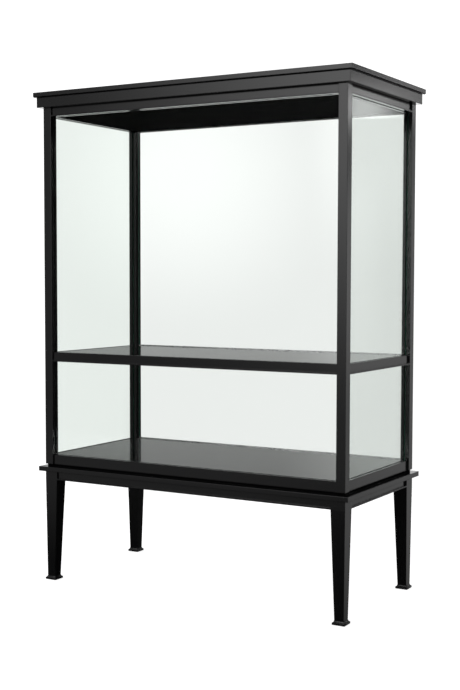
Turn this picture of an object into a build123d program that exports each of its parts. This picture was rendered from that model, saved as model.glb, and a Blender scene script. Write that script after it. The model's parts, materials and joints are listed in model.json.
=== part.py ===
from build123d import *
import os
from math import sqrt

# Glass display showcase: a framed glass case in two tiers on a low stand with tapered legs.
# Millimetres. Origin on the floor at the middle of the case, +Z up, front towards -Y.

# ---------------------------------------------------------------- driving dimensions

# Whole object
case_width = 1290.0           # over the outer faces of the posts
case_depth = 610.0            # over the outer faces of the posts
total_height = 1900.0         # floor to the top of the cornice
stand_height = 443.0          # floor to the underside of the base plate
shelf_height = 898.0          # floor to the top of the shelf

# Frame
post_size = 35.0              # square posts
top_rail_height = 36.0
mid_rail_height = 35.0
bottom_rail_height = 37.0
rail_setback = 7.0            # rail face behind the post face
lip_height = 5.0              # lip along the lower edge of rails and aprons
rail_tenon_length = 10.0
tenon_shoulder = 5.0          # rail left above and below each tenon
tenon_cheek = 1.0             # rail left between a tenon and a face or groove
tenon_clearance = 0.1

# Fixed glass
glass_thickness = 6.0
glass_inset = 16.0            # outer face of the glass behind the post face
glass_bite = 5.0              # pane edge inside the frame
gasket_side = 1.0             # gasket between glass and groove wall
gasket_bed = 2.0              # gasket under the pane edge
gasket_proud = 0.5            # gasket showing past the frame

# Cornice and base
top_plate_thickness = 19.0
top_plate_overhang = 28.0     # past the post faces
frieze_height = 38.0
frieze_thickness = 18.0
frieze_lap = 2.0              # frieze reaching down over the post tops
base_plate_thickness = 17.0
base_plate_overhang = 19.0
plate_bevel = 3.0             # lower edge of the top plate
edge_rounding = 1.5
edge_easing = 0.8             # upright edges of posts and legs

# Stand
leg_top_size = 55.0
leg_foot_size = 36.0
leg_outer_taper = 4.0         # how far the outer faces lean in at the floor
apron_height = 44.0
apron_thickness = 22.0
apron_tenon_length = 15.0
apron_tenon_thickness = 8.0
foot_cap_height = 14.0
foot_cap_overhang = 6.6       # slab past the leg foot
foot_cap_slab = 7.5           # thickness of the slab below the cove
foot_cap_collar = 1.2         # upper part of the cap past the leg foot
foot_cap_cove_share = 0.9     # cove radius over the width of the step it fills
glide_radius = 12.0
glide_thickness = 3.5
glide_proud = 1.5             # glide below the foot cap
brace_thickness = 18.0
brace_height = 30.0
brace_gap = 4.0               # between brace and leg corner

# Panels inside the case
panel_thickness = 12.0
panel_clearance = 0.5
bearer_thickness = 3.0
bearer_gap = 1.0              # between two bearers at a corner
bearer_share = 0.8            # bearer height, of the rail behind a panel that it can use

# Rear doors
rebate_height = 10.0          # door rebate in the rear rails
door_side_gap = 3.0           # door edge to post
door_gap = 2.0                # door channel to rebate
channel_wall = 3.0            # channel side beside the glass
channel_height = 11.0
channel_base = 4.0
channel_play = 1.0            # closed door to the stop and to the turn button
glass_end_play = 1.0          # door glass to the round end of its channel
pivot_radius = 3.0
pivot_clearance = 0.05
bush_radius = 5.0
bush_flange_radius = 5.7
bush_share = 0.45             # bush depth, of the rail core between two rebates
knob_radius = 5.0
knob_head_length = 7.0
knob_stem_radius = 2.5
knob_stem_length = 4.0
knob_spigot_length = 2.0      # knob let into the channel wall
knob_from_edge = 25.0         # knob to the free edge of the door
turn_button_share = 0.8       # button width, of the rail core
turn_button_thickness = 4.0
turn_button_from_post = 60.0
shoulder_radius = 2.5         # shoulder screw that the button turns on

# Fasteners
stud_radius = 4.0
stud_reach = 60.0             # stud inside post and inside leg
brace_bolt_share = 0.55       # inset of the bolt tip, of the leg head size
cornice_bolt_radius = 3.0
cleat_bolt_share = 0.4        # cleat bolts from the middle of a side, of its length
frieze_bolt_share = 0.3       # frieze bolts, likewise
bolt_head_height = 5.0
bolt_head_share = 1.8         # head radius over shank radius
bolt_seat_depth = 10.0        # counterbore in a cleat
hole_clearance = 0.2
screw_radius = 2.0
ceiling_screw_share = 0.25    # from the middle of a side, over its clear length
screw_tip = 3.0               # screw past the bearer

# ---------------------------------------------------------------- levels and sizes that follow

frieze_top = total_height - top_plate_thickness
frieze_bottom = frieze_top - frieze_height
post_top = frieze_bottom + frieze_lap
top_rail_bottom = post_top - top_rail_height
mid_rail_bottom = shelf_height - mid_rail_height
post_bottom = stand_height + base_plate_thickness
bottom_rail_top = post_bottom + bottom_rail_height
apron_bottom = stand_height - apron_height
leg_bottom = glide_proud + foot_cap_height

groove_depth = glass_bite + gasket_bed
groove_from = glass_inset - gasket_side
groove_to = glass_inset + glass_thickness + gasket_side
channel_from = glass_inset - channel_wall
channel_to = glass_inset + glass_thickness + channel_wall
rebate_to = channel_to + channel_play
rear_rail_setback = channel_from - channel_play
pivot_inset = (channel_from + channel_to) / 2
channel_half = (channel_to - channel_from) / 2
rail_core = mid_rail_height - 2 * rebate_height
bush_depth = bush_share * rail_core
turn_button_width = turn_button_share * rail_core
turn_button_length = rail_core + 2 * channel_height
bearer_size = bearer_share * (mid_rail_height - panel_thickness)
screw_length = panel_thickness + bearer_thickness + screw_tip
pin_reach = door_gap + bush_depth - pivot_clearance

# Tiers: clear height between the rails, lower then upper
tiers = {
    "lower": (bottom_rail_top, mid_rail_bottom),
    "upper": (shelf_height, top_rail_bottom),
}

# Rails: lower and upper face of each ring of four
rail_levels = {
    "bottom": (post_bottom, bottom_rail_top),
    "mid": (mid_rail_bottom, shelf_height),
    "top": (top_rail_bottom, post_top),
}

sides = ("front", "right", "rear", "left")
glazed_sides = ("front", "right", "left")
side_turns = {"front": 0, "right": 90, "rear": 180, "left": 270}

# Corner name: sign along X, sign along Y
corners = {
    "front_left": (-1, -1),
    "front_right": (1, -1),
    "rear_left": (-1, 1),
    "rear_right": (1, 1),
}


# ---------------------------------------------------------------- helpers

def side_length(side):
    """Length of one side over the outer faces of its posts."""
    return case_width if side in ("front", "rear") else case_depth


def side_frame(side):
    """Frame of one side: X along it, Y inwards from the post faces, Z up."""
    distance = case_depth / 2 if side in ("front", "rear") else case_width / 2
    return Rot(0, 0, side_turns[side]) * Pos(0, -distance, 0)


def clear_length(side):
    """Length of one side between its posts."""
    return side_length(side) - 2 * post_size


def side_block(side, outer, inner, bottom, top, length, along=0.0):
    """Block on one side, given by its distances behind the post faces."""
    middle = Pos(along, (outer + inner) / 2, (bottom + top) / 2)
    return side_frame(side) * middle * Box(length, inner - outer, top - bottom)


def mitred_board(side, outer, inner, bottom, top):
    """Board round one side, mitred at both ends to meet its neighbours."""
    outer_end = side_length(side) / 2 - outer
    inner_end = side_length(side) / 2 - inner
    outline = Polygon(
        (-outer_end, outer),
        (outer_end, outer),
        (inner_end, inner),
        (-inner_end, inner),
        align=None,
    )
    return side_frame(side) * Pos(0, 0, bottom) * extrude(outline, top - bottom, dir=(0, 0, 1))


def corner_place(corner, inset_x, inset_y, height):
    """Place at one corner, given by its distances behind the two outer faces."""
    sign_x, sign_y = corners[corner]
    return Pos(
        sign_x * (case_width / 2 - inset_x),
        sign_y * (case_depth / 2 - inset_y),
        height,
    )


def upright(place, radius, bottom, top):
    """Round bar along Z of a place, from one distance to another."""
    return place * Pos(0, 0, (bottom + top) / 2) * Cylinder(radius, top - bottom)


def hex_bolt(radius, length, clearance=0.0):
    """Bolt along +Z with its head below the origin; with a clearance it is the hole for it."""
    shank = upright(Pos(0, 0, 0), radius + clearance, 0, length + clearance)
    if clearance:
        return shank
    head = Pos(0, 0, -bolt_head_height) * extrude(RegularPolygon(bolt_head_share * radius, 6), bolt_head_height)
    return head + shank


# ---------------------------------------------------------------- frame of the case

def rail_tenons(side, level, clearance=0.0):
    """Bar whose ends are the two tenons of a rail."""
    bottom, top = rail_levels[level]
    if side == "rear":
        outer = rebate_to + tenon_cheek
        inner = post_size - tenon_cheek
    else:
        outer = rail_setback + tenon_cheek
        inner = groove_from - tenon_cheek
    return side_block(
        side,
        outer - clearance,
        inner + clearance,
        bottom + tenon_shoulder - clearance,
        top - tenon_shoulder + clearance,
        clear_length(side) + 2 * (rail_tenon_length + clearance),
    )


def glazing_groove(side, tier):
    """Space that one fixed pane and its gasket take in the frame."""
    bottom, top = tiers[tier]
    length = clear_length(side) + 2 * groove_depth
    return side_block(side, groove_from, groove_to, bottom - groove_depth, top + groove_depth, length)


def door_rebate(tier):
    """Space that one rear door takes in the rear rails, open to the rear."""
    bottom, top = tiers[tier]
    length = clear_length("rear")
    return side_block("rear", 0, rebate_to, bottom - rebate_height, top + rebate_height, length)


def rail(side, level):
    """One rail with its tenons and its grooves or door rebates."""
    bottom, top = rail_levels[level]
    length = clear_length(side)
    setback = rear_rail_setback if side == "rear" else rail_setback
    body = side_block(side, setback, post_size, bottom, top, length)
    if side != "rear" and level != "bottom":
        body += side_block(side, 0, post_size, bottom, bottom + lip_height, length)
    body += rail_tenons(side, level)
    for tier in tiers:
        if side == "rear":
            body -= door_rebate(tier)
            body -= pivot_bush(tier, "bottom", solid=True)
            body -= pivot_bush(tier, "top", solid=True)
        else:
            body -= glazing_groove(side, tier)
    if level == "mid" and side == "rear":
        body -= turn_button_screw()
    if level == "top":
        for bolt_hole in cleat_bolts(side, hole_clearance):
            body -= bolt_hole
    return body


def stud(corner, clearance=0.0):
    """Threaded stud that ties post, base plate and leg together."""
    middle = corner_place(corner, post_size / 2, post_size / 2, 0)
    reach = stud_reach + clearance
    return upright(middle, stud_radius + clearance, stand_height - reach, post_bottom + reach)


def post(corner):
    """One corner post with its mortises and glazing grooves."""
    foot = corner_place(corner, post_size / 2, post_size / 2, post_bottom)
    body = extrude(foot * RectangleRounded(post_size, post_size, edge_easing), post_top - post_bottom)
    end, hand = corner.split("_")
    for side in (end, hand):
        for level in rail_levels:
            body -= rail_tenons(side, level, tenon_clearance)
        if side != "rear":
            for tier in tiers:
                body -= glazing_groove(side, tier)
    return body - stud(corner, hole_clearance)


# ---------------------------------------------------------------- glazing

def pane(side, tier):
    """One fixed pane with its edges inside the frame."""
    bottom, top = tiers[tier]
    length = clear_length(side) + 2 * glass_bite
    inner = glass_inset + glass_thickness
    return side_block(side, glass_inset, inner, bottom - glass_bite, top + glass_bite, length)


def gasket(side, tier):
    """Rubber gasket round one fixed pane."""
    bottom, top = tiers[tier]
    length = clear_length(side) - 2 * gasket_proud
    opening = side_block(side, 0, post_size, bottom + gasket_proud, top - gasket_proud, length)
    return glazing_groove(side, tier) - opening - pane(side, tier)


# ---------------------------------------------------------------- panels and bearers

def panel(underside):
    """Panel that fills the case from rail to rail."""
    width = clear_length("front") - 2 * panel_clearance
    depth = clear_length("left") - 2 * panel_clearance
    return Pos(0, 0, underside + panel_thickness / 2) * Box(width, depth, panel_thickness)


def ceiling_screw(side, hand):
    """Countersunk screw up through the ceiling panel into its bearer."""
    along = hand * clear_length(side) * ceiling_screw_share
    place = side_frame(side) * Pos(along, post_size + bearer_size / 2, top_rail_bottom)
    head_height = screw_radius
    head = place * Pos(0, 0, head_height / 2) * Cone(2 * screw_radius, screw_radius, head_height)
    return head + upright(place, screw_radius, head_height, screw_length)


def ceiling_screws():
    """All the screws of the ceiling panel."""
    return [ceiling_screw(side, hand) for side in sides for hand in (-1, 1)]


def bearer(side, face, direction):
    """Angle along one rail; it carries a panel at the given face."""
    length = clear_length(side)
    if side in ("left", "right"):
        length -= 2 * (bearer_size + bearer_gap)
    flange_edge = face + direction * bearer_thickness
    web_edge = face + direction * bearer_size
    inner = post_size + bearer_size
    flange = side_block(side, post_size, inner, min(face, flange_edge), max(face, flange_edge), length)
    web_inner = post_size + bearer_thickness
    web = side_block(side, post_size, web_inner, min(face, web_edge), max(face, web_edge), length)
    return flange + web


def panel_bearers():
    """Bearers under the deck and the shelf and over the ceiling panel."""
    angles = []
    for side in sides:
        angles.append(bearer(side, bottom_rail_top - panel_thickness, -1))
        angles.append(bearer(side, shelf_height - panel_thickness, -1))
        ceiling_angle = bearer(side, top_rail_bottom + panel_thickness, 1)
        for screw in ceiling_screws():
            ceiling_angle -= screw
        angles.append(ceiling_angle)
    return angles


def ceiling_panel():
    """Panel overhead, drilled for its screws."""
    body = panel(top_rail_bottom)
    for screw in ceiling_screws():
        body -= screw
    return body


# ---------------------------------------------------------------- rear doors

hinge_along = clear_length("rear") / 2 - door_side_gap - channel_half
free_edge = -(clear_length("rear") / 2 - door_side_gap)


def pivot_place(height):
    """Place on the pivot line of the doors."""
    return side_frame("rear") * Pos(hinge_along, pivot_inset, height)


def door_glass(tier):
    """Pane of one door, bare at both upright edges."""
    bottom, top = tiers[tier]
    seat = rebate_height - door_gap - channel_base
    hinge_edge = hinge_along + channel_half - glass_end_play
    inner = glass_inset + glass_thickness
    middle = (free_edge + hinge_edge) / 2
    length = hinge_edge - free_edge
    return side_block("rear", glass_inset, inner, bottom - seat, top + seat, length, middle)


def door_channel(tier, end):
    """Channel along the lower or upper edge of one door, rounded about its pivot."""
    bottom, top = tiers[tier]
    if end == "bottom":
        low = bottom - rebate_height + door_gap
    else:
        low = top + rebate_height - door_gap - channel_height
    high = low + channel_height
    middle = (free_edge + hinge_along) / 2
    bar = side_block("rear", channel_from, channel_to, low, high, hinge_along - free_edge, middle)
    bar += upright(pivot_place(0), channel_half, low, high)
    return bar - door_glass(tier) - pivot_pin(tier, end)


def pivot_pin(tier, end):
    """Pin fixed in a door channel and turning in a bush."""
    bottom, top = tiers[tier]
    if end == "bottom":
        low = bottom - rebate_height + door_gap
        return upright(pivot_place(0), pivot_radius, low - pin_reach, low + channel_base)
    high = top + rebate_height - door_gap
    return upright(pivot_place(0), pivot_radius, high - channel_base, high + pin_reach)


def pivot_bush(tier, end, solid=False):
    """Flanged bush let into a rear rail; solid, it is the hole for the bush."""
    bottom, top = tiers[tier]
    if end == "bottom":
        place = pivot_place(bottom - rebate_height) * Rot(180, 0, 0)
    else:
        place = pivot_place(top + rebate_height)
    sleeve = upright(place, bush_radius, 0, bush_depth)
    if solid:
        return sleeve
    flange = upright(place, bush_flange_radius, pivot_clearance - door_gap, 0)
    bore = upright(place, pivot_radius + pivot_clearance, -door_gap, bush_depth)
    return sleeve + flange - bore


def door_knob(tier):
    """Small pull on the channel next to the middle rail."""
    bottom, top = tiers[tier]
    if tier == "upper":
        height = bottom - rebate_height + door_gap + channel_height / 2
    else:
        height = top + rebate_height - door_gap - channel_height / 2
    place = side_frame("rear") * Pos(free_edge + knob_from_edge, channel_from, height) * Rot(90, 0, 0)
    spigot = upright(place, knob_stem_radius, -knob_spigot_length, knob_stem_length)
    head_end = knob_stem_length + knob_head_length
    head = upright(Pos(0, 0, 0), knob_radius, knob_stem_length, head_end)
    head = fillet(head.edges(), edge_rounding)
    return spigot + place * head


def turn_button_place():
    """Place on the rear middle rail where the turn button sits, Z pointing out of the rail."""
    along = -(clear_length("rear") / 2 - turn_button_from_post)
    height = mid_rail_bottom + mid_rail_height / 2
    return side_frame("rear") * Pos(along, rear_rail_setback, height) * Rot(90, 0, 0)


def turn_button():
    """Button that holds both doors shut when it stands upright."""
    outline = SlotOverall(turn_button_length, turn_button_width)
    outline -= Circle(shoulder_radius + pivot_clearance)
    thickness = turn_button_thickness - 2 * pivot_clearance
    return turn_button_place() * Pos(0, 0, pivot_clearance) * extrude(outline, thickness)


def turn_button_screw():
    """Shoulder screw that the button turns on."""
    place = turn_button_place()
    shank = upright(place, shoulder_radius, -rear_rail_setback, turn_button_thickness)
    head_end = turn_button_thickness + shoulder_radius
    head = upright(place, 2 * shoulder_radius, turn_button_thickness, head_end)
    slot = Pos(0, 0, head_end) * Box(4 * shoulder_radius, shoulder_radius / 2, shoulder_radius)
    return shank + head - place * slot


# ---------------------------------------------------------------- cornice

def cleat_bolt_places(side):
    """Seats of the bolts that go down through a cleat, Z pointing down."""
    along = cleat_bolt_share * side_length(side)
    inset = (groove_from + groove_to) / 2
    seat = frieze_top - bolt_seat_depth
    return [side_frame(side) * Pos(hand * along, inset, seat) * Rot(180, 0, 0) for hand in (-1, 1)]


def cleat_bolts(side, clearance=0.0):
    """Bolts down through a cleat into the top rail."""
    length = frieze_top - bolt_seat_depth - post_top + top_rail_height / 2
    bolt = hex_bolt(cornice_bolt_radius, length, clearance)
    return [place * bolt for place in cleat_bolt_places(side)]


def frieze_bolts(side, clearance=0.0):
    """Bolts out through a cleat into the frieze board."""
    along = frieze_bolt_share * side_length(side)
    height = (post_top + frieze_top) / 2
    bolt = hex_bolt(cornice_bolt_radius, post_size + frieze_thickness / 2, clearance)
    frame = side_frame(side)
    return [frame * Pos(hand * along, post_size, height) * Rot(90, 0, 0) * bolt for hand in (-1, 1)]


def cleat(side):
    """Wooden cleat on top of the frame that carries frieze and top plate."""
    body = mitred_board(side, 0, post_size, post_top, frieze_top)
    for bolt_hole in cleat_bolts(side, hole_clearance) + frieze_bolts(side, hole_clearance):
        body -= bolt_hole
    for place in cleat_bolt_places(side):
        body -= upright(place, 2 * cornice_bolt_radius, -bolt_seat_depth, 0)
    return body


def frieze(side):
    """Mitred frieze board against the post faces."""
    body = mitred_board(side, -frieze_thickness, 0, frieze_bottom, frieze_top)
    for bolt_hole in frieze_bolts(side, hole_clearance):
        body -= bolt_hole
    return body


def top_plate():
    """Plate over the whole cornice, bevelled underneath and eased on top."""
    width = case_width + 2 * top_plate_overhang
    depth = case_depth + 2 * top_plate_overhang
    plate = Pos(0, 0, frieze_top + top_plate_thickness / 2) * Box(width, depth, top_plate_thickness)
    plate = chamfer(plate.faces().sort_by(Axis.Z)[0].edges(), plate_bevel)
    return fillet(plate.faces().sort_by(Axis.Z)[-1].edges(), edge_rounding)


# ---------------------------------------------------------------- stand

def base_plate():
    """Board between case and stand with eased edges."""
    width = case_width + 2 * base_plate_overhang
    depth = case_depth + 2 * base_plate_overhang
    middle = Pos(0, 0, stand_height + base_plate_thickness / 2)
    plate = middle * Box(width, depth, base_plate_thickness)
    plate = fillet(plate.edges().filter_by(Axis.Z), 2 * edge_rounding)
    plate = fillet(plate.faces().sort_by(Axis.Z)[-1].edges(), edge_rounding)
    plate = fillet(plate.faces().sort_by(Axis.Z)[0].edges(), edge_rounding)
    for corner in corners:
        plate -= stud(corner, hole_clearance)
    return plate


def apron_tenons(side, clearance=0.0):
    """Bar whose ends are the two tenons of an apron."""
    outer = rail_setback + lip_height / 2
    return side_block(
        side,
        outer - clearance,
        outer + apron_tenon_thickness + clearance,
        apron_bottom + tenon_shoulder - clearance,
        stand_height - tenon_shoulder + clearance,
        side_length(side) - 2 * leg_top_size + 2 * (apron_tenon_length + clearance),
    )


def apron(side):
    """Apron between two legs with a lip along its lower edge."""
    length = side_length(side) - 2 * leg_top_size
    inner = rail_setback + apron_thickness
    body = side_block(side, rail_setback, inner, apron_bottom, stand_height, length)
    body += side_block(side, 0, inner, apron_bottom, apron_bottom + lip_height, length)
    return body + apron_tenons(side)


leg_foot_inset = leg_outer_taper + leg_foot_size / 2
spigot_size = leg_foot_size / 2
spigot_depth = foot_cap_height / 2


def leg_spigot(corner, clearance=0.0):
    """Square spigot under a leg that locates the foot cap."""
    size = spigot_size + 2 * clearance
    depth = spigot_depth + clearance
    place = corner_place(corner, leg_foot_inset, leg_foot_inset, leg_bottom - depth / 2)
    return place * Box(size, size, depth)


def leg(corner):
    """Leg with a square head and a shaft that tapers mostly on its inner faces."""
    upper_place = corner_place(corner, leg_top_size / 2, leg_top_size / 2, apron_bottom)
    upper = upper_place * RectangleRounded(leg_top_size, leg_top_size, edge_easing)
    lower_place = corner_place(corner, leg_foot_inset, leg_foot_inset, leg_bottom)
    lower = lower_place * RectangleRounded(leg_foot_size, leg_foot_size, edge_easing)
    body = extrude(upper, apron_height) + loft([lower, upper], ruled=True) + leg_spigot(corner)
    for side in corner.split("_"):
        body -= apron_tenons(side, tenon_clearance)
    return body - stud(corner, hole_clearance) - brace_bolt(corner, hole_clearance)


def foot_cap(corner):
    """Foot cap: square slab with a cove up to the leg."""
    slab_size = leg_foot_size + 2 * foot_cap_overhang
    collar_size = leg_foot_size + 2 * foot_cap_collar
    slab_middle = Pos(0, 0, glide_proud + foot_cap_slab / 2)
    body = slab_middle * Box(slab_size, slab_size, foot_cap_slab)
    body += Pos(0, 0, glide_proud + foot_cap_height / 2) * Box(collar_size, collar_size, foot_cap_height)
    slab_top = glide_proud + foot_cap_slab
    cove_edges = []
    for edge in body.edges().filter_by_position(Axis.Z, slab_top, slab_top):
        if abs(edge.length - collar_size) < tenon_clearance:
            cove_edges.append(edge)
    cove_radius = foot_cap_cove_share * (foot_cap_overhang - foot_cap_collar)
    body = fillet(cove_edges, cove_radius)
    body = corner_place(corner, leg_foot_inset, leg_foot_inset, 0) * body
    return body - leg_spigot(corner, tenon_clearance) - glide(corner)


def glide(corner):
    """Round floor glide pressed into the foot cap."""
    place = corner_place(corner, leg_foot_inset, leg_foot_inset, 0)
    return upright(place, glide_radius, 0, glide_thickness)


def brace_lines():
    """Sums of the two insets at the outer and inner face of a corner brace."""
    outer = 2 * leg_top_size + brace_gap
    return outer, outer + brace_thickness * sqrt(2)


def brace_bolt(corner, clearance=0.0):
    """Hanger bolt through the corner brace into the leg."""
    sign_x, sign_y = corners[corner]
    inner_line = brace_lines()[1]
    height = (apron_bottom + stand_height) / 2
    start = corner_place(corner, inner_line / 2, inner_line / 2, height).position
    length = (inner_line / 2 - brace_bolt_share * leg_top_size) * sqrt(2)
    place = Plane(origin=start, x_dir=(0, 0, 1), z_dir=(sign_x, sign_y, 0))
    return place.location * hex_bolt(stud_radius, length, clearance)


def corner_brace(corner):
    """Brace across the inner corner of two aprons."""
    outer_line, inner_line = brace_lines()
    apron_inner = rail_setback + apron_thickness
    points = []
    for line, swapped in ((outer_line, False), (outer_line, True), (inner_line, True), (inner_line, False)):
        far = line - apron_inner
        inset_x, inset_y = (far, apron_inner) if swapped else (apron_inner, far)
        place = corner_place(corner, inset_x, inset_y, 0).position
        points.append((place.X, place.Y))
    low = (apron_bottom + stand_height - brace_height) / 2
    outline = Polygon(*points, align=None)
    body = Pos(0, 0, low) * extrude(outline, brace_height, dir=(0, 0, 1))
    return body - brace_bolt(corner, hole_clearance)


# ---------------------------------------------------------------- all the parts

parts = {}

for corner_name in corners:
    parts["leg_" + corner_name] = leg(corner_name)
    parts["post_" + corner_name] = post(corner_name)

for side_name in sides:
    parts["apron_" + side_name] = apron(side_name)
    parts["frieze_" + side_name] = frieze(side_name)
    for level_name in rail_levels:
        parts[level_name + "_rail_" + side_name] = rail(side_name, level_name)

for tier_name in tiers:
    for side_name in glazed_sides:
        parts["glass_" + side_name + "_" + tier_name] = pane(side_name, tier_name)
    door = tier_name + "_door"
    parts[door + "_glass"] = door_glass(tier_name)
    parts[door + "_channels"] = [door_channel(tier_name, end) for end in ("bottom", "top")]
    parts[door + "_pivot_pins"] = [pivot_pin(tier_name, end) for end in ("bottom", "top")]
    parts[door + "_knob"] = door_knob(tier_name)

for door_tier, knobbed_end in (("lower", 1), ("upper", 0)):
    knobbed_channels = parts[door_tier + "_door_channels"]
    knobbed_channels[knobbed_end] -= parts[door_tier + "_door_knob"]

parts["foot_caps"] = [foot_cap(corner_name) for corner_name in corners]
parts["floor_glides"] = [glide(corner_name) for corner_name in corners]
parts["corner_braces"] = [corner_brace(corner_name) for corner_name in corners]
parts["brace_bolts"] = [brace_bolt(corner_name) for corner_name in corners]
parts["post_studs"] = [stud(corner_name) for corner_name in corners]
parts["base_plate"] = base_plate()
parts["deck"] = panel(bottom_rail_top - panel_thickness)
parts["shelf"] = panel(shelf_height - panel_thickness)
parts["ceiling_panel"] = ceiling_panel()
parts["ceiling_screws"] = ceiling_screws()
parts["panel_bearers"] = panel_bearers()
parts["glazing_gaskets"] = [gasket(side_name, tier_name) for side_name in glazed_sides for tier_name in tiers]
parts["pivot_bushes"] = [pivot_bush(tier_name, end) for tier_name in tiers for end in ("bottom", "top")]
parts["turn_button"] = turn_button()
parts["turn_button_screw"] = turn_button_screw()
parts["top_plate"] = top_plate()
parts["cornice_cleats"] = [cleat(side_name) for side_name in sides]
cornice_bolts = []
for side_name in sides:
    cornice_bolts += cleat_bolts(side_name)
    cornice_bolts += frieze_bolts(side_name)
parts["cornice_bolts"] = cornice_bolts

os.makedirs("parts", exist_ok=True)
for part_name, shape in parts.items():
    if isinstance(shape, list):
        solids = []
        for piece in shape:
            solids += piece.solids()
        shape = Compound(solids)
    export_step(shape, "parts/" + part_name + ".step")
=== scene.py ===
import json
import math
import bmesh
import bpy
from mathutils import Matrix, Vector


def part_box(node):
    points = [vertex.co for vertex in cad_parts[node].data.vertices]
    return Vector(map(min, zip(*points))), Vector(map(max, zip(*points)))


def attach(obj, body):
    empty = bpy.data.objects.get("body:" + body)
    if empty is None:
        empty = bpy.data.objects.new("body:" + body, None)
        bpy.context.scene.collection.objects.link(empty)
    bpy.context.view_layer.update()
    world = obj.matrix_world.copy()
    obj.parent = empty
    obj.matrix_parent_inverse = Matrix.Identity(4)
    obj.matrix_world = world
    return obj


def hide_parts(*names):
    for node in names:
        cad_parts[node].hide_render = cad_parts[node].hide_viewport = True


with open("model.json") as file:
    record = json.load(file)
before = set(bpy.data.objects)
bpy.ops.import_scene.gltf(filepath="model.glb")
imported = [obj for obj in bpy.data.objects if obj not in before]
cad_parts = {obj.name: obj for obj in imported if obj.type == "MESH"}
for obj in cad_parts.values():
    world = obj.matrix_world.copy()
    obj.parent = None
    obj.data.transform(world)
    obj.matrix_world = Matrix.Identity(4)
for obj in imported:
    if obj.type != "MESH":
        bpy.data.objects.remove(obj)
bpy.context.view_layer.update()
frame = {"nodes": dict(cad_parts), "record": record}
record = frame["record"]
nodes = frame["nodes"]


# ---------------------------------------------------------------- sizes, in metres

lacquer_rounding = 0.0028       # radius that the lacquer's shading gives to sharp edges
lacquer_worn_band = 0.0012      # width of the rubbed line along lacquered edges
plated_worn_band = 0.0006
painted_worn_band = 0.0005

bead_width = 0.001              # rubber glazing bead, away from the pane
bead_depth = 0.002              # and along it
bead_proud = 0.0005             # how far it stands into the opening
bead_corner = 0.0015
bead_rounding_share = 0.3       # corner radius of its section, of its width

bolt_head_radius = 0.0070
bolt_head_thickness = 0.0038
bolt_washer_thickness = 0.0012
bolt_shank_radius = 0.004
bolt_crown_share = 0.84         # round top of the head, of its corner radius
bolt_chamfer_slope = 1.7
washer_share = 1.15             # washer's radius, of the head's corner radius

screw_shank_radius = 0.002
cross_length_share = 1.25       # cross recess, of the head's radius
cross_width_share = 0.24
cross_depth_share = 0.9         # of the head's depth, half of it above the head

cap_collar_share = 0.78         # foot cap: width at the collar, as a share of the slab
cap_slab_share = 0.56           # height of the slab, as a share of the cap
cap_cove_rate = 2.6
cap_cove_spread = 0.75          # how far the cove reaches out, of the slab's overhang
cap_eased_share = 0.96          # width at the slab's eased lower edge
cap_eased_rate = 12.0
cap_corner_share = 0.07

lip_drop = 0.010                # base plate's lip, below the plate
lip_rise = 0.008                # and above the plate's underside
gap_depth = 0.006               # shadow gap under the case

eased_metal = 0.0005
eased_plate = 0.0006
weld_reach = 0.000002
sharp_angle = math.radians(40)  # edges sharper than this are eased
smooth_angle = math.radians(35)

floor_radius = 2.6


# ---------------------------------------------------------------- shader arithmetic

class Wire:
    """One socket of a material, with arithmetic that adds the Math nodes it needs."""

    def __init__(self, net, socket):
        self.net = net
        self.socket = socket

    def math(self, operation, *others):
        return self.net.node("ShaderNodeMath", {"operation": operation}, dict(enumerate((self, *others))))

    def __add__(self, other):
        return self.math("ADD", other)

    __radd__ = __add__

    def __mul__(self, other):
        return self.math("MULTIPLY", other)

    __rmul__ = __mul__

    def __sub__(self, other):
        return self.math("SUBTRACT", other)

    def __rsub__(self, other):
        return self.net.node("ShaderNodeMath", {"operation": "SUBTRACT"}, {0: other, 1: self})

    def __pow__(self, other):
        return self.math("POWER", other)

    def clamped(self):
        return self.math("MAXIMUM", 0.0).math("MINIMUM", 1.0)

    def step(self, low, high):
        """0 below low, 1 above high, smooth between."""
        settings = {"interpolation_type": "SMOOTHSTEP"}
        values = {"Value": self, "From Min": low, "From Max": high}
        return self.net.node("ShaderNodeMapRange", settings, values)

    def scaled(self, *factors):
        """A vector times one factor per axis."""
        return self.net.node("ShaderNodeVectorMath", {"operation": "MULTIPLY"}, {0: self, 1: factors})

    def dot(self, *direction):
        """How much of a vector lies along a direction."""
        values = {0: self, 1: direction}
        return self.net.node("ShaderNodeVectorMath", {"operation": "DOT_PRODUCT"}, values, "Value")


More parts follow.
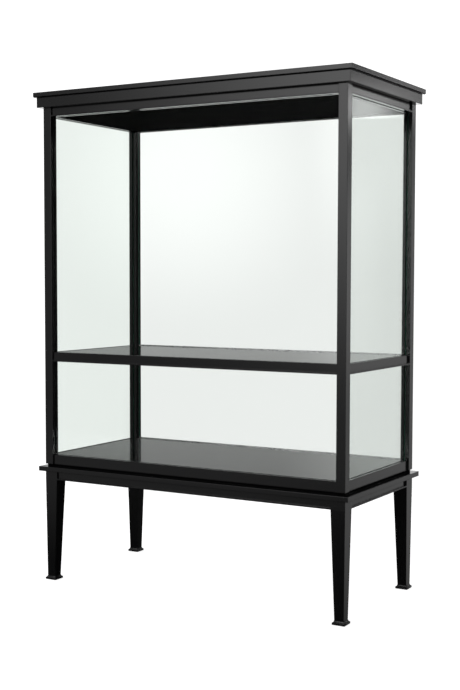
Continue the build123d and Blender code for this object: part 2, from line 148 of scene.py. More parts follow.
class Net:
    """Node tree of one finish."""

    def __init__(self, tree):
        self.tree = tree
        tree.nodes.clear()

    def node(self, kind, settings=None, values=None, output=0):
        made = self.tree.nodes.new(kind)
        for name, setting in (settings or {}).items():
            setattr(made, name, setting)
        for name, value in (values or {}).items():
            socket = made.inputs[name]
            if isinstance(value, Wire):
                self.tree.links.new(value.socket, socket)
            else:
                socket.default_value = value
        return Wire(self, made.outputs[output])

    def place(self):
        """The spot on the object, in metres."""
        return self.node("ShaderNodeTexCoord", output="Object")

    def noise(self, where, scale, detail=2.0, roughness=0.5):
        values = {"Vector": where, "Scale": scale, "Detail": detail, "Roughness": roughness}
        return self.node("ShaderNodeTexNoise", None, values)

    def mix(self, share, first, second):
        """Two colours, as much of the second as the share says."""
        values = {0: share, 6: first, 7: second}
        return self.node("ShaderNodeMix", {"data_type": "RGBA"}, values, 2)

    def bump(self, height, distance, strength=1.0, normal=None):
        values = {"Height": height, "Distance": distance, "Strength": strength}
        if normal is not None:
            values["Normal"] = normal
        return self.node("ShaderNodeBump", None, values)

    def rounded(self, radius):
        """Normals of the piece as if its edges were rounded."""
        return self.node("ShaderNodeBevel", {"samples": 4}, {"Radius": radius})

    def worn_edges(self, width):
        """1 along the outer edges of a piece, 0 on its faces."""
        flat = self.node("ShaderNodeNewGeometry", output="Normal")
        values = {0: self.rounded(width), 1: flat}
        likeness = self.node("ShaderNodeVectorMath", {"operation": "DOT_PRODUCT"}, values, "Value")
        return (1.0 - likeness).step(0.02, 0.25)

    def surface(self, values):
        return self.node("ShaderNodeBsdfPrincipled", None, values)

    def finish(self, shader, kind="ShaderNodeOutputMaterial"):
        end = self.tree.nodes.new(kind)
        self.tree.links.new(shader.socket, end.inputs["Surface"])


def finish_named(name):
    """A new material and its net."""
    made = bpy.data.materials.new(name)
    made.use_nodes = True
    return made, Net(made.node_tree)


# ---------------------------------------------------------------- finishes

def black_lacquer(name, along):
    """Satin black lacquer over close wood grain that runs along one axis."""
    made, net = finish_named(name)
    place = net.place()
    stretch = [60.0, 60.0, 60.0]
    stretch[along] = 2.5
    grain = net.noise(place.scaled(*stretch), 9.0, 3.0, 0.6)
    pores = net.noise(place.scaled(*[8.0 * factor for factor in stretch]), 9.0, 2.0, 0.5)
    peel = net.noise(place, 260.0, 1.0)
    cloud = net.noise(place, 5.0, 3.0)
    edges = net.worn_edges(lacquer_worn_band)
    black = net.mix(cloud, (0.0038, 0.0038, 0.0041, 1), (0.0066, 0.0066, 0.0070, 1))
    rubbed = net.mix(edges * (0.15 + 0.5 * grain).clamped(), black, (0.016, 0.0155, 0.015, 1))
    sheen = 0.10 + 0.05 * cloud + 0.05 * grain - 0.03 * edges
    relief = 0.55 * grain + 0.25 * pores.step(0.35, 0.6) + 0.35 * peel
    shader = net.surface({
        "Base Color": rubbed,
        "Roughness": sheen,
        "IOR": 1.45,
        "Coat Weight": 0.25,
        "Coat Roughness": 0.12,
        "Normal": net.bump(relief, 0.000009, 1.0, net.rounded(lacquer_rounding)),
    })
    net.finish(shader)
    return made


def gloss_panel(name):
    """High gloss black laminate with faint wipe marks."""
    made, net = finish_named(name)
    place = net.place()
    wipes = net.noise(place.scaled(3.0, 26.0, 3.0), 1.6, 3.0, 0.6)
    dust = net.noise(place, 900.0, 1.0).step(0.70, 0.80)
    ripple = net.noise(place, 34.0, 1.0)
    tone = net.mix(dust, (0.0050, 0.0052, 0.0056, 1), (0.030, 0.030, 0.030, 1))
    shader = net.surface({
        "Base Color": tone,
        "Roughness": 0.05 + 0.07 * wipes.step(0.35, 0.75),
        "IOR": 1.38,
        "Normal": net.bump(ripple, 0.00002),
    })
    net.finish(shader)
    return made


def matte_panel(name):
    """Dull black board for the underside of the roof; on the faces of the shadow gap its near-black is
    painted shade.
    """
    made, net = finish_named(name)
    place = net.place()
    nap = net.noise(place, 300.0, 2.0)
    cloud = net.noise(place, 6.0, 2.0)
    shader = net.surface({
        "Base Color": net.mix(cloud, (0.0012, 0.0012, 0.0013, 1), (0.0026, 0.0026, 0.0028, 1)),
        "Roughness": 0.75 + 0.15 * nap,
        "IOR": 1.04,
        "Normal": net.bump(nap, 0.00008),
    })
    net.finish(shader)
    return made


def clear_glass(name, clear, edge):
    """Float glass: tinted faces, a mirror share that grows at a slant, green along the edge's axis."""
    made, net = finish_named(name)
    place = net.place()
    smear = net.noise(place.scaled(5.0, 5.0, 2.0), 2.2, 4.0, 0.6)
    slant = net.node("ShaderNodeLayerWeight", None, {"Blend": 0.5}, "Facing")
    mirror_share = 0.0006 + 0.93 * slant ** 5.0
    see = net.node("ShaderNodeBsdfTransparent", None, {"Color": clear})
    values = {"Color": (0.97, 0.99, 0.98, 1), "Roughness": 0.01 + 0.03 * smear.step(0.45, 0.8)}
    mirror = net.node("ShaderNodeBsdfAnisotropic", {"distribution": "GGX"}, values)
    pane = net.node("ShaderNodeMixShader", None, {0: mirror_share, 1: see, 2: mirror})
    facing = net.node("ShaderNodeTexCoord", output="Normal")
    level_edges = facing.dot(0, 0, 1).math("ABSOLUTE")
    upright_edges = facing.dot(*edge).math("ABSOLUTE")
    rim = level_edges.math("MAXIMUM", upright_edges).step(0.6, 0.9)
    green = net.surface({"Base Color": (0.05, 0.16, 0.11, 1), "Roughness": 0.15, "IOR": 1.5})
    net.finish(net.node("ShaderNodeMixShader", None, {0: rim, 1: pane, 2: green}))
    return made


def rubber(name):
    """Matte black glazing rubber."""
    made, net = finish_named(name)
    place = net.place()
    skin = net.noise(place, 700.0, 2.0)
    bloom = net.noise(place, 14.0, 3.0)
    shader = net.surface({
        "Base Color": net.mix(bloom, (0.010, 0.010, 0.010, 1), (0.022, 0.022, 0.022, 1)),
        "Roughness": 0.55 + 0.15 * bloom,
        "IOR": 1.45,
        "Normal": net.bump(skin, 0.00008),
    })
    net.finish(shader)
    return made


def metal(name, dark, light, rough, brushed=(1.0, 1.0, 1.0), metallic=1.0, depth=0.00002):
    """Machined or plated metal with brush lines across the given stretch."""
    made, net = finish_named(name)
    place = net.place()
    lines = net.noise(place.scaled(*brushed), 420.0, 3.0, 0.6)
    stain = net.noise(place, 45.0, 3.0)
    edges = net.worn_edges(plated_worn_band)
    shader = net.surface({
        "Base Color": net.mix((0.6 * stain + 0.4 * edges).clamped(), dark, light),
        "Metallic": metallic,
        "Roughness": rough + 0.16 * lines * stain,
        "Normal": net.bump(lines, depth),
    })
    net.finish(shader)
    return made


def black_metal(name, rough):
    """Black paint on metal, worn thin along its edges."""
    made, net = finish_named(name)
    place = net.place()
    peel = net.noise(place, 520.0, 2.0)
    cloud = net.noise(place, 18.0, 3.0)
    edges = net.worn_edges(painted_worn_band) * net.noise(place, 160.0, 2.0).step(0.45, 0.6)
    shader = net.surface({
        "Base Color": net.mix(edges, (0.008, 0.008, 0.0085, 1), (0.16, 0.155, 0.15, 1)),
        "Metallic": 0.8 * edges,
        "Roughness": rough + 0.16 * cloud,
        "IOR": 1.45,
        "Normal": net.bump(peel, 0.00004),
    })
    net.finish(shader)
    return made


def softwood(name):
    """Plain sawn softwood with growth lines."""
    made, net = finish_named(name)
    place = net.place()
    bend = net.noise(place.scaled(1.0, 1.0, 0.4), 14.0, 3.0)
    rings = net.node("ShaderNodeTexWave", {"bands_direction": "Z"}, {
        "Vector": place, "Scale": 70.0, "Distortion": 5.0, "Detail": 3.0, "Detail Scale": 0.6,
    })
    fibre = net.noise(place.scaled(30.0, 30.0, 300.0), 4.0, 3.0)
    tone = net.mix((0.6 * rings + 0.4 * bend).clamped(), (0.30, 0.19, 0.10, 1), (0.55, 0.40, 0.24, 1))
    shader = net.surface({
        "Base Color": tone,
        "Roughness": 0.55 + 0.2 * fibre,
        "Normal": net.bump(fibre + 0.5 * rings, 0.0002),
    })
    net.finish(shader)
    return made


def nylon(name):
    """Moulded dark nylon, scuffed underneath."""
    made, net = finish_named(name)
    place = net.place()
    scuff = net.noise(place.scaled(900.0, 120.0, 60.0), 2.0, 3.0).step(0.5, 0.75)
    cloud = net.noise(place, 80.0, 2.0)
    shader = net.surface({
        "Base Color": net.mix(scuff, (0.09, 0.09, 0.09, 1), (0.22, 0.21, 0.20, 1)),
        "Roughness": 0.40 + 0.25 * cloud,
        "Normal": net.bump(scuff + cloud, 0.00006),
    })
    net.finish(shader)
    return made


lacquer = [black_lacquer("Black lacquer along " + axis, number) for number, axis in enumerate("xyz")]
panel_finish = gloss_panel("Gloss black laminate")
roof_board_and_gap_shade = matte_panel("Matte black board")
front_glass = clear_glass("Clear glass lengthways", (0.940, 0.948, 0.942, 1), (1, 0, 0))
side_glass = clear_glass("Clear glass crossways", (0.871, 0.891, 0.877, 1), (0, 1, 0))
rubber_finish = rubber("Glazing rubber")
zinc = metal("Zinc plated steel", (0.42, 0.42, 0.43, 1), (0.66, 0.66, 0.65, 1), 0.24)
chrome = metal("Polished chrome", (0.62, 0.62, 0.63, 1), (0.80, 0.80, 0.81, 1), 0.05, depth=0.000005)
brass = metal("Machined brass", (0.50, 0.34, 0.12, 1), (0.80, 0.60, 0.28, 1), 0.20)
black_paint = black_metal("Satin black metal", 0.32)
dull_paint = black_metal("Dull black metal", 0.62)
wood_finish = softwood("Sawn softwood")
nylon_finish = nylon("Moulded nylon")

slot_finish = {
    "gloss_black_panel": panel_finish,
    "black_rubber": rubber_finish,
    "steel": zinc,
    "chrome": chrome,
    "brass": brass,
    "black_metal": black_paint,
    "softwood": wood_finish,
    "nylon": nylon_finish,
}


def longest_axis(node):
    low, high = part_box(node)
    size = high - low
    return max(range(3), key=lambda axis: size[axis])


def paint(obj, finish):
    if obj.data.materials:
        for number in range(len(obj.data.materials)):
            obj.data.materials[number] = finish
    else:
        obj.data.materials.append(finish)


def ease_edges(obj, width):
    """Joins the loose triangles and rounds the sharp edges of a carried-over piece."""
    weld = obj.modifiers.new("Weld", "WELD")
    weld.merge_threshold = weld_reach
    bevel = obj.modifiers.new("Eased edges", "BEVEL")
    bevel.width = width
    bevel.segments = 2
    bevel.limit_method = "ANGLE"
    bevel.angle_limit = sharp_angle
    bevel.use_clamp_overlap = True
    bevel.harden_normals = False


for subpart in record["subparts"]:
    node = subpart["node"]
    slot = subpart["material_slot"]
    obj = nodes[node]
    if slot == "black_lacquer":
        paint(obj, lacquer[longest_axis(node)])
    elif node == "ceiling_panel":
        paint(obj, roof_board_and_gap_shade)
    elif node.endswith("_door_channels"):
        paint(obj, zinc)
    elif slot == "clear_glass":
        paint(obj, side_glass if "left" in node or "right" in node else front_glass)
    else:
        paint(obj, slot_finish[slot])


# ---------------------------------------------------------------- shapes made with Geometry Nodes

def shape_net(name, sizes):
    """A Geometry Nodes tree with a named number input for each size, and one for the finish."""
    tree = bpy.data.node_groups.new(name, "GeometryNodeTree")
    tree.interface.new_socket("Geometry", in_out="INPUT", socket_type="NodeSocketGeometry")
    for size in sizes:
        tree.interface.new_socket(size, in_out="INPUT", socket_type="NodeSocketFloat")
    tree.interface.new_socket("Finish", in_out="INPUT", socket_type="NodeSocketMaterial")
    tree.interface.new_socket("Geometry", in_out="OUTPUT", socket_type="NodeSocketGeometry")
    net = Net(tree)
    start = tree.nodes.new("NodeGroupInput")
    return net, {socket.name: Wire(net, socket) for socket in start.outputs if socket.name}


def end_shape(net, shape, finish):
    """Ends a tree: instances made real, then the finish."""
    real = net.node("GeometryNodeRealizeInstances", None, {"Geometry": shape})
    painted = net.node("GeometryNodeSetMaterial", None, {"Geometry": real, "Material": finish})
    end = net.tree.nodes.new("NodeGroupOutput")
    net.tree.links.new(painted.socket, end.inputs["Geometry"])


def grown(net, values, start=None):
    """Plain mesh that a tree makes from the given sizes."""
    seed = bpy.data.objects.new("Seed", start or bpy.data.meshes.new("Seed"))
    bpy.context.collection.objects.link(seed)
    modifier = seed.modifiers.new("Shape", "NODES")
    modifier.node_group = net.tree
    for item in net.tree.interface.items_tree:
        if item.in_out == "INPUT" and item.name in values:
            modifier[item.identifier] = values[item.name]
    evaluated = seed.evaluated_get(bpy.context.evaluated_depsgraph_get())
    mesh = bpy.data.meshes.new_from_object(evaluated)
    seed.modifiers.remove(modifier)
    bpy.data.objects.remove(seed)
    return mesh


def new_piece(name, mesh, body, slot, *replaced):
    """A mesh as a piece that rides on a body in place of the CAD nodes."""
    piece = bpy.data.objects.new(name, mesh)
    bpy.context.collection.objects.link(piece)
    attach(piece, body)
    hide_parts(*replaced)
    return piece


def add_piece(name, meshes, finish, body, slot, *replaced):
    """One smooth piece with one finish, made of the meshes."""
    joined = bmesh.new()
    for mesh in meshes:
        joined.from_mesh(mesh)
    whole = bpy.data.meshes.new(name)
    joined.to_mesh(whole)
    joined.free()
    whole.materials.append(finish)
    whole.polygons.foreach_set("material_index", [0] * len(whole.polygons))
    whole.shade_smooth()
    whole.set_sharp_from_angle(angle=smooth_angle)
    new_piece(name, whole, body, slot, *replaced)


def rounded_rectangle(net, width, height, corner, steps):
    loop = net.node("GeometryNodeCurvePrimitiveQuadrilateral", None, {"Width": width, "Height": height})
    values = {"Curve": loop, "Count": steps, "Radius": corner}
    return net.node("GeometryNodeFilletCurve", {"mode": "POLY"}, values)


def bar(net, sides, radius, length):
    """Round or hexagonal bar from the origin down."""
    values = {"Vertices": sides, "Radius": radius, "Depth": length}
    return lowered(net, net.node("GeometryNodeMeshCylinder", None, values), 0.5 * length)


def taper(net, sides, top, bottom, length):
    """Round tapered bar from the origin down."""
    values = {"Vertices": sides, "Radius Top": top, "Radius Bottom": bottom, "Depth": length}
    return lowered(net, net.node("GeometryNodeMeshCone", None, values), length)


def lowered(net, shape, depth):
    drop = net.node("ShaderNodeCombineXYZ", None, {"Z": -1.0 * depth})
    return net.node("GeometryNodeTransform", None, {"Geometry": shape, "Translation": drop})


def together(net, *shapes):
    joined = net.node("GeometryNodeJoinGeometry")
    for shape in shapes:
        net.tree.links.new(shape.socket, joined.socket.node.inputs["Geometry"])
    return joined


def turned(net, section, outline, length, radius, rings):
    """A section carried down from the origin, widened along the way as the outline says."""
    end = net.node("ShaderNodeCombineXYZ", None, {"Z": -1.0 * length})
    line = net.node("GeometryNodeCurvePrimitiveLine", None, {"Start": (0, 0, 0), "End": end})
    line = net.node("GeometryNodeResampleCurve", None, {"Curve": line, "Count": rings})
    share = net.node("GeometryNodeSplineParameter")
    rule = net.node("ShaderNodeFloatCurve", None, {"Value": share})
    mapping = rule.socket.node.mapping
    curve = mapping.curves[0]
    curve.points[0].location = outline[0]
    curve.points[1].location = outline[-1]
    for point in outline[1:-1]:
        curve.points.new(*point)
    for point in curve.points:
        point.handle_type = "AUTO_CLAMPED"
    mapping.update()
    values = {"Curve": line, "Profile Curve": section, "Scale": rule * radius, "Fill Caps": True}
    return net.node("GeometryNodeCurveToMesh", None, values)


def set_net(name, sizes, make_shape):
    """Tree that stands one shape on every point it is given, turned to that point's facing."""
    net, size = shape_net(name, (*sizes, "Loose turn"))
    facing = net.node("GeometryNodeInputNamedAttribute", {"data_type": "FLOAT_VECTOR"}, {"Name": "facing"})
    turn = net.node("FunctionNodeAlignRotationToVector", {"axis": "Z"}, {"Vector": facing})
    chance = net.node("FunctionNodeRandomValue", {"data_type": "FLOAT"}, {2: 0.0, 3: 1.0, "Seed": 7}, 1)
    values = {"Axis": (0, 0, 1), "Angle": chance * size["Loose turn"]}
    spin = net.node("FunctionNodeAxisAngleToRotation", None, values)
    turn = net.node("FunctionNodeRotateRotation", {"rotation_space": "LOCAL"}, {0: turn, 1: spin})
    values = {"Points": size["Geometry"], "Instance": make_shape(net, size), "Rotation": turn}
    end_shape(net, net.node("GeometryNodeInstanceOnPoints", None, values), size["Finish"])
    return net


def hex_bolt(net, size):
    """Hexagon head with chamfered corners, a washer under it, and the shank."""
    radius, thickness, washer = size["Head radius"], size["Head thickness"], size["Washer thickness"]
    block = bar(net, 6, radius, thickness)
    crown = bolt_crown_share * radius
    cone = taper(net, 48, crown, crown + bolt_chamfer_slope * thickness, thickness)
    settings = {"operation": "INTERSECT", "solver": "EXACT"}
    head = net.node("GeometryNodeMeshBoolean", settings, {"Mesh 2": block})
    net.tree.links.new(cone.socket, head.socket.node.inputs["Mesh 2"])
    plate = lowered(net, bar(net, 40, washer_share * radius, washer), thickness)
    shank = lowered(net, bar(net, 24, size["Shank radius"], size["Length"] - thickness), thickness)
    return together(net, head, plate, shank)


def countersunk_screw(net, size):
    """Flat countersunk head with a cross recess, and the shank."""
    radius, shank_radius = size["Head radius"], size["Shank radius"]
    depth = radius - shank_radius
    head = taper(net, 40, radius, shank_radius, depth)
    slots = []
    sides = (cross_length_share, cross_width_share)
    for along_x, along_y in (sides, sides[::-1]):
        reach = net.node("ShaderNodeCombineXYZ", None, {
            "X": along_x * radius, "Y": along_y * radius, "Z": cross_depth_share * depth,
        })
        slots.append(net.node("GeometryNodeMeshCube", None, {"Size": reach}))
    values = {"Mesh 1": head, "Mesh 2": slots[0]}
    cut = net.node("GeometryNodeMeshBoolean", {"operation": "DIFFERENCE", "solver": "EXACT"}, values)
    net.tree.links.new(slots[1].socket, cut.socket.node.inputs["Mesh 2"])
    shank = lowered(net, bar(net, 20, shank_radius, size["Length"] - depth), depth)
    return together(net, cut, shank)


def round_section(net, sides=48):
    return net.node("GeometryNodeCurvePrimitiveCircle", None, {"Resolution": sides, "Radius": 1.0})


def knob_shape(net, size):
    """Turned knob: crowned face, soft rim, waisted neck and a small collar."""
    outline = [
        (0.0, 0.62), (0.03, 0.80), (0.08, 0.93), (0.15, 0.99), (0.30, 1.0), (0.44, 0.97), (0.52, 0.86),
        (0.56, 0.66), (0.61, 0.52), (0.68, 0.48), (0.76, 0.50), (0.80, 0.62), (0.84, 0.64), (1.0, 0.50),
    ]
    return turned(net, round_section(net), outline, size["Length"], size["Radius"], 72)


def glide_shape(net, size):
    """Moulded glide: slightly domed foot with a rounded rim."""
    outline = [(0.0, 0.86), (0.05, 0.92), (0.16, 0.975), (0.34, 1.0), (1.0, 1.0)]
    return turned(net, round_section(net, 64), outline, size["Length"], size["Radius"], 40)


def cap_shape(net, size):
    """Square foot cap: slab with eased edges, then a cove up to the collar."""
    collar, slab = size["Collar share"], size["Slab share"]
    section = rounded_rectangle(net, 2.0, 2.0, cap_corner_share, 4)
    end = net.node("ShaderNodeCombineXYZ", None, {"Z": -1.0 * size["Length"]})
    line = net.node("GeometryNodeCurvePrimitiveLine", None, {"Start": (0, 0, 0), "End": end})
    line = net.node("GeometryNodeResampleCurve", None, {"Curve": line, "Count": 64})
    share = net.node("GeometryNodeSplineParameter")
    above = ((share - slab) * size["Cove rate"]).clamped()
    cove = (1.0 - above) * (1.0 - above)
    slab_width = cap_eased_share + (1.0 - cap_eased_share) * (share * cap_eased_rate).clamped()
    collar_width = collar + (1.0 - collar) * cap_cove_spread * cove
    past_slab = share.step(slab - 0.03, slab)
    wide = (1.0 - past_slab) * slab_width + past_slab * collar_width
    values = {
        "Curve": line, "Profile Curve": section, "Scale": wide * size["Radius"], "Fill Caps": True,
    }
    return net.node("GeometryNodeCurveToMesh", None, values)


def bead_net():
    """Tree for one glazing bead: a soft-cornered loop of rubber strip."""
    net, size = shape_net("Glazing bead", ("Width", "Height", "Corner", "Strip width", "Strip depth"))
    loop = rounded_rectangle(net, size["Width"], size["Height"], size["Corner"], 5)
    rounding = bead_rounding_share * size["Strip width"]
    section = rounded_rectangle(net, size["Strip depth"], size["Strip width"], rounding, 3)
    strip = net.node("GeometryNodeCurveToMesh", None, {"Curve": loop, "Profile Curve": section})
    end_shape(net, strip, size["Finish"])
    return net


def solids(node):
    """Points of each loose solid of a CAD node, in a fixed order."""
    merged = bmesh.new()
    merged.from_mesh(nodes[node].data)
    bmesh.ops.remove_doubles(merged, verts=merged.verts, dist=0.000001)
    unseen = set(merged.verts)
    groups = []
    while unseen:
        border = [unseen.pop()]
        group = []
        while border:
            vertex = border.pop()
            group.append(vertex.co.copy())
            for edge in vertex.link_edges:
                other = edge.other_vert(vertex)
                if other in unseen:
                    unseen.remove(other)
                    border.append(other)
        groups.append(group)
    merged.free()
    return sorted(groups, key=lambda group: tuple(round(number, 4) for number in middle_of(group)))


def middle_of(points):
    return [(min(p[axis] for p in points) + max(p[axis] for p in points)) / 2 for axis in range(3)]


def reach_along(points, direction):
    """Lowest and highest reach of the points along a direction."""
    reaches = [point.dot(direction) for point in points]
    return min(reaches), max(reaches)


def placed_set(name, net, node, facing_of, sizes, finish, body, slot):
    """A set of equal small pieces at the outer ends of a CAD node's solids."""
    places, facings = [], []
    for points in solids(node):
        centre = Vector(middle_of(points))
        facing = Vector(facing_of(centre)).normalized()
        end = reach_along(points, facing)[1]
        places.append(centre + (end - centre.dot(facing)) * facing)
        facings.append(facing)
    start = bpy.data.meshes.new(name)
    start.from_pydata(places, [], [])
    attribute = start.attributes.new("facing", "FLOAT_VECTOR", "POINT")
    for number, facing in enumerate(facings):
        attribute.data[number].vector = facing
    mesh = grown(net, {**sizes, "Finish": finish}, start)
    add_piece(name, [mesh], finish, body, slot, node)


def add_glazing_beads():
    """Rubber bead on both faces of every fixed pane."""
    net = bead_net()
    meshes = []
    for tier in ("lower", "upper"):
        rail_below, rail_above = ("bottom", "mid") if tier == "lower" else ("mid", "top")
        for side in ("front", "left", "right"):
            pane_low, pane_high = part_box("glass_" + side + "_" + tier)
            along, across = (0, 1) if side == "front" else (1, 0)
            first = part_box("post_front_left")[1][along]
            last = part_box("post_front_right" if side == "front" else "post_rear_left")[0][along]
            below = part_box(rail_below + "_rail_" + side)[1].z
            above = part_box(rail_above + "_rail_" + side)[0].z
            half_proud = bead_proud - bead_depth / 2
            width = last - first - 2 * half_proud
            height = above - below - 2 * half_proud
            middle_along = (first + last) / 2
            middle_height = (below + above) / 2
            for face in (pane_low[across] - bead_width / 2, pane_high[across] + bead_width / 2):
                mesh = grown(net, {
                    "Width": width, "Height": height, "Corner": bead_corner,
                    "Strip width": bead_width, "Strip depth": bead_depth, "Finish": rubber_finish,
                })
                if side == "front":
                    turn = Matrix(((1, 0, 0), (0, 0, -1), (0, 1, 0))).to_4x4()
                    place = Vector((middle_along, face, middle_height))
                else:
                    turn = Matrix(((0, 0, 1), (1, 0, 0), (0, 1, 0))).to_4x4()
                    place = Vector((face, middle_along, middle_height))
                mesh.transform(Matrix.Translation(place) @ turn)
                meshes.append(mesh)
    add_piece("glazing_beads", meshes, rubber_finish, "case", "black_rubber", "glazing_gaskets")


def size_along(node, direction):
    """Length of a CAD node's first solid along a direction."""
    first, last = reach_along(solids(node)[0], Vector(direction).normalized())
    return last - first


def radius_of(node):
    return size_along(node, (1, 0, 0)) / 2


def towards_middle(centre):
    """Level direction from a corner of the stand to its middle."""
    return (-centre.x / abs(centre.x), -centre.y / abs(centre.y), 0)


def downward(centre):
    return (0, 0, -1)


def rearward_facing(centre):
    return (0, 1, 0)


def add_brace_bolts():
    node = "brace_bolts"
    sizes = {
        "Head radius": bolt_head_radius,
        "Head thickness": bolt_head_thickness,
        "Washer thickness": bolt_washer_thickness,
        "Shank radius": bolt_shank_radius,
        "Length": size_along(node, towards_middle(Vector(middle_of(solids(node)[0])))),
    }
    net = set_net("Hexagon bolts", sizes, hex_bolt)
    sizes["Loose turn"] = 2 * math.pi
    placed_set("stand_brace_bolts", net, node, towards_middle, sizes, zinc, "case", "steel")


def add_ceiling_screws():
    node = "ceiling_screws"
    sizes = {
        "Head radius": radius_of(node),
        "Shank radius": screw_shank_radius,
        "Length": size_along(node, (0, 0, 1)),
    }
    net = set_net("Countersunk screws", sizes, countersunk_screw)
    sizes["Loose turn"] = math.pi
    placed_set("ceiling_cross_screws", net, node, downward, sizes, dull_paint, "case", "black_metal")


def add_door_knobs():
    net = set_net("Turned knobs", ("Radius", "Length"), knob_shape)
    for tier in ("lower", "upper"):
        node = tier + "_door_knob"
        sizes = {"Radius": radius_of(node), "Length": size_along(node, (0, 1, 0)), "Loose turn": 0.0}
        name = tier + "_door_turned_knob"
        placed_set(name, net, node, rearward_facing, sizes, chrome, tier + "_door", "chrome")


def add_floor_glides():
    node = "floor_glides"
    net = set_net("Floor glides", ("Radius", "Length"), glide_shape)
    sizes = {"Radius": radius_of(node), "Length": size_along(node, (0, 0, 1)), "Loose turn": 0.0}
    placed_set("moulded_glides", net, node, downward, sizes, nylon_finish, "case", "nylon")


def add_foot_caps():
    node = "foot_caps"
    sizes = {
        "Radius": radius_of(node),
        "Length": size_along(node, (0, 0, 1)),
        "Collar share": cap_collar_share,
        "Slab share": cap_slab_share,
        "Cove rate": cap_cove_rate,
    }
    net = set_net("Foot caps", sizes, cap_shape)
    sizes["Loose turn"] = 0.0
    placed_set("moulded_foot_caps", net, node, downward, sizes, lacquer[2], "case", "black_lacquer")


def add_stepped_plate():
    """Base plate with a shadow gap under the case, its recess faces painted near-black as shade, and a lip
    over the top of the aprons.
    """
    plate_low, plate_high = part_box("base_plate")
    case_low, case_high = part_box("post_front_left")[0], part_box("post_rear_right")[1]
    middle_x = (case_low.x + case_high.x) / 2
    middle_y = (case_low.y + case_high.y) / 2
    overhang = plate_high.x - case_high.x
    lip_bottom = plate_low.z - lip_drop
    lip_top = plate_low.z + lip_rise
    steps = (
        (0.0, plate_low.z), (0.0, lip_bottom), (overhang, lip_bottom), (overhang, lip_top),
        (-gap_depth, lip_top), (-gap_depth, plate_high.z),
    )
    built = bmesh.new()
    rings = []
    for outset, level in steps:
        half_x = (case_high.x - case_low.x) / 2 + outset
        half_y = (case_high.y - case_low.y) / 2 + outset
        corners = ((-half_x, -half_y), (half_x, -half_y), (half_x, half_y), (-half_x, half_y))
        rings.append([built.verts.new((middle_x + x, middle_y + y, level)) for x, y in corners])
    for first, second in zip(rings, rings[1:]):
        for number in range(4):
            after = (number + 1) % 4
            face = built.faces.new((first[number], first[after], second[after], second[number]))
            # the upright faces of the recess take the near-black matte board: painted shade in the shadow
            # gap
            face.material_index = 1 if second is rings[-1] else 0
    built.faces.new(rings[0])
    built.faces.new(rings[-1])
    bmesh.ops.recalc_face_normals(built, faces=built.faces)
    mesh = bpy.data.meshes.new("stepped_base_plate")
    built.to_mesh(mesh)
    built.free()
    mesh.materials.append(lacquer[0])
    # second finish: the near-black matte board, painted shade on the faces of the shadow gap
    mesh.materials.append(roof_board_and_gap_shade)
    ease_edges(new_piece("stepped_base_plate", mesh, "case", "black_lacquer", "base_plate"), eased_plate)


add_glazing_beads()
add_brace_bolts()
add_ceiling_screws()
add_door_knobs()
add_floor_glides()
add_foot_caps()
for eased_node in ("turn_button", "lower_door_channels", "upper_door_channels"):
    ease_edges(nodes[eased_node], eased_metal)
add_stepped_plate()


# ---------------------------------------------------------------- floor, light and camera

def add_floor(radius):
    """Round pale studio floor that fades out at its rim."""
    rings, spokes = 8, 96
    points = [(0.0, 0.0, 0.0)]
    for ring in range(1, rings + 1):
        reach = radius * ring / rings
        for spoke in range(spokes):
            turn = 2 * math.pi * spoke / spokes
            points.append((reach * math.cos(turn), reach * math.sin(turn), 0.0))
    faces = [(0, 1 + spoke, 1 + (spoke + 1) % spokes) for spoke in range(spokes)]
    for ring in range(rings - 1):
        first = 1 + ring * spokes
        second = first + spokes
        for spoke in range(spokes):
            after = (spoke + 1) % spokes
            faces.append((first + spoke, second + spoke, second + after, first + after))
    mesh = bpy.data.meshes.new("Studio floor")
    mesh.from_pydata(points, [], faces)
    floor = bpy.data.objects.new("Studio_floor", mesh)
    bpy.context.collection.objects.link(floor)
    made, net = finish_named("Pale floor")
    place = net.place()
    reach = net.node("ShaderNodeVectorMath", {"operation": "LENGTH"}, {0: place}, "Value")
    speck = net.noise(place, 60.0, 2.0)
    shader = net.surface({
        "Base Color": net.mix(speck, (0.88, 0.88, 0.88, 1), (0.90, 0.90, 0.90, 1)),
        "Roughness": 0.9,
        "Emission Color": (1, 1, 1, 1),
        "Emission Strength": 0.80,
    })
    gone = net.node("ShaderNodeBsdfTransparent")
    rim = reach.step(0.55 * radius, 0.98 * radius)
    net.finish(net.node("ShaderNodeMixShader", None, {0: rim, 1: shader, 2: gone}))
    mesh.materials.append(made)
    floor.visible_glossy = False
    floor.visible_diffuse = False


add_floor(floor_radius)

world = bpy.data.worlds.new("Studio")
bpy.context.scene.world = world
world.use_nodes = True
studio = Net(world.node_tree)
direction = studio.node("ShaderNodeTexCoord", output="Generated")
height = direction.dot(0, 0, 1)
sideways = direction.dot(1, 0, 0)
rearward = direction.dot(0, 1, 0).step(0.2, 0.5)
frontward = direction.dot(0, -1, 0).step(0.3, 0.6)

# boxes and strips of light round the object, each 0 to 1 over the directions that it fills
backdrop = direction.dot(-0.50, 0.86, 0.0).step(0.80, 0.94)
low_backdrop = backdrop * height.step(-0.26, -0.18) * (1.0 - height.step(-0.10, -0.02))
middle_rear = sideways.step(-0.47, -0.38) * rearward * (1.0 - sideways.step(-0.30, 0.0))
beside_right = 1.0 - sideways.step(0.45, 0.53)
rear_right = direction.dot(0.45, 0.89, 0.0).step(0.75, 0.95) * height.step(-0.36, -0.20) * beside_right
rear_right = rear_right * (1.0 - 0.40 * height.step(0.07, 0.12))
right_panel = sideways.step(0.385, 0.41) * beside_right * rearward
right_panel = right_panel * height.step(-0.13, 0.01) * (1.0 - height.step(0.05, 0.10))
right_strip = sideways.step(0.366, 0.404) * rearward
right_strip = right_strip * height.step(0.1262, 0.1288) * (1.0 - height.step(0.143, 0.152))
front_box = direction.dot(-0.197, -0.935, 0.295).step(0.885, 1.02)
front_room = frontward * height.step(-0.22, -0.02)
right_end = sideways.step(-0.45, -0.43)
low_reach = (1.0 - right_end) * height.step(-0.225, -0.195) + right_end * height.step(-0.205, -0.165)
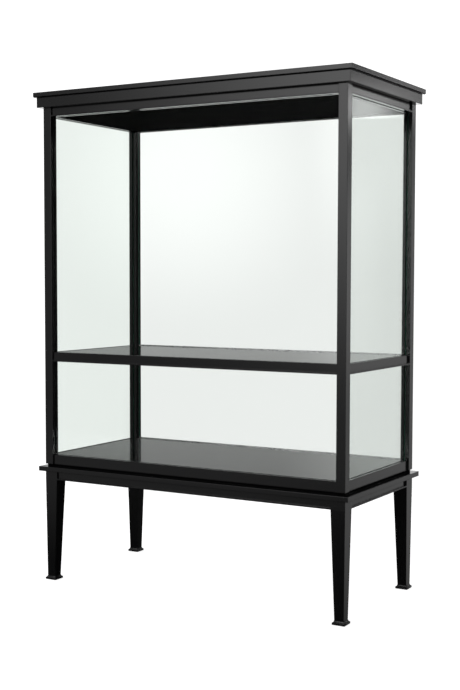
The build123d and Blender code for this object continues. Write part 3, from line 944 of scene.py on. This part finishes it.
low_front = frontward * low_reach * (1.0 - height.step(-0.165, -0.09))
right_box = direction.dot(0.95, -0.05, 0.25).step(0.80, 0.99)
left_box = direction.dot(-0.95, 0.05, 0.25).step(0.80, 0.99)

light_strengths = (
    (0.22, front_room), (0.52, backdrop), (0.70, low_backdrop), (0.36, middle_rear), (0.40, rear_right),
    (0.40, right_panel), (4.00, right_strip), (3.00, front_box), (0.25, low_front), (1.10, right_box),
    (1.10, left_box), (0.15, height.step(0.30, 0.70)), (0.30, height.step(0.60, 0.90)),
)
glow = 0.05 * height.step(-0.22, -0.02)
for strength, light in light_strengths:
    glow = glow + strength * light

# what the camera sees behind the object: near white, a little brighter behind the upper glass; the round
# bright patch there is a painted reflection of soft light on the front pane
painted_reflection_patch = ((direction.dot(-0.533, 0.842, 0.086) - 0.990) * 100.0).clamped()
left_rear = 1.0 - sideways.step(-0.575, -0.560)
upper_right = sideways.step(-0.45, -0.42) * height.step(-0.02, 0.11)
white = 1.06 + 0.20 * painted_reflection_patch * painted_reflection_patch + 0.15 * left_rear + 0.13 * upper_right
seen = studio.node("ShaderNodeLightPath", output="Is Camera Ray")
strength = seen * white + (1.0 - seen) * glow
studio.finish(
    studio.node("ShaderNodeBackground", None, {"Color": (1, 1, 1, 1), "Strength": strength}),
    "ShaderNodeOutputWorld",
)

camera_place = Vector((2.3587, -4.0252, 1.1958))
camera_yaw = math.radians(30.22)
camera_pitch = math.radians(-3.25)
camera_roll = math.radians(0.11)
lens_mm = 63.21

ahead = Vector((
    -math.sin(camera_yaw) * math.cos(camera_pitch),
    math.cos(camera_yaw) * math.cos(camera_pitch),
    math.sin(camera_pitch),
))
across = Vector((math.cos(camera_yaw), math.sin(camera_yaw), 0.0))
upward = across.cross(ahead)
tilted_across = math.cos(camera_roll) * across + math.sin(camera_roll) * upward
tilted_upward = math.cos(camera_roll) * upward - math.sin(camera_roll) * across

camera_data = bpy.data.cameras.new("Camera")
camera_data.sensor_fit = "VERTICAL"
camera_data.sensor_height = 36.0
camera_data.lens = lens_mm
camera = bpy.data.objects.new("Camera", camera_data)
bpy.context.collection.objects.link(camera)
camera.matrix_world = Matrix.Translation(camera_place) @ Matrix((
    (tilted_across.x, tilted_upward.x, -ahead.x, 0),
    (tilted_across.y, tilted_upward.y, -ahead.y, 0),
    (tilted_across.z, tilted_upward.z, -ahead.z, 0),
    (0, 0, 0, 1),
))
bpy.context.scene.camera = camera

view = bpy.context.scene.view_settings
view.view_transform = "Standard"
view.look = "None"
bpy.context.scene.cycles.transparent_max_bounces = 24
bpy.context.scene.cycles.max_bounces = 10
